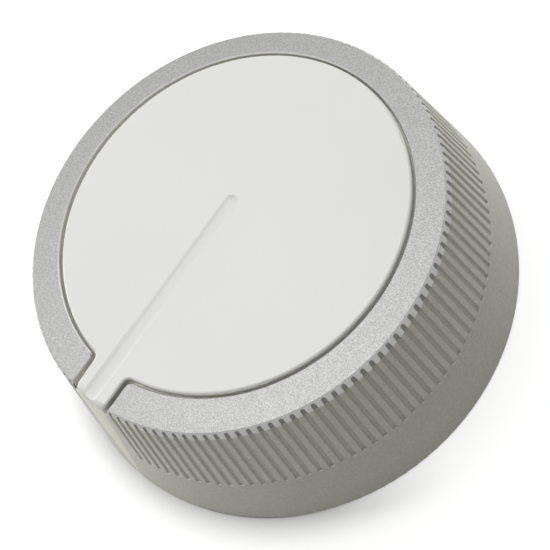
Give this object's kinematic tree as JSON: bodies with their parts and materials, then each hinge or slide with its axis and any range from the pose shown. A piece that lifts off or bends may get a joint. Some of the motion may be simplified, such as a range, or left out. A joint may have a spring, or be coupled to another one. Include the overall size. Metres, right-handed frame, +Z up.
{
  "type": "control knob",
  "caption": "Round fluted control knob with a flared skirt, a flat face with a pointer groove and an open silver ring, that grips a round shaft end.",
  "frame": {"origin": "on the turning axis, in the plane of the skirt's rim", "axes": "+Z up out of the face, -Y along the pointer, +X to the right of the pointer seen from the front"},
  "size_m": [0.0642, 0.0642, 0.02],
  "materials": {
    "white_plastic": "satin moulded plastic",
    "silver_coat": "fine-grained silver coat",
    "spring_steel": "plain rolled strip"
  },
  "bodies": {
    "root": {"knob_body": "white_plastic", "silver_ring": "silver_coat", "hub_clip": "spring_steel"}
  },
  "joints": []
}
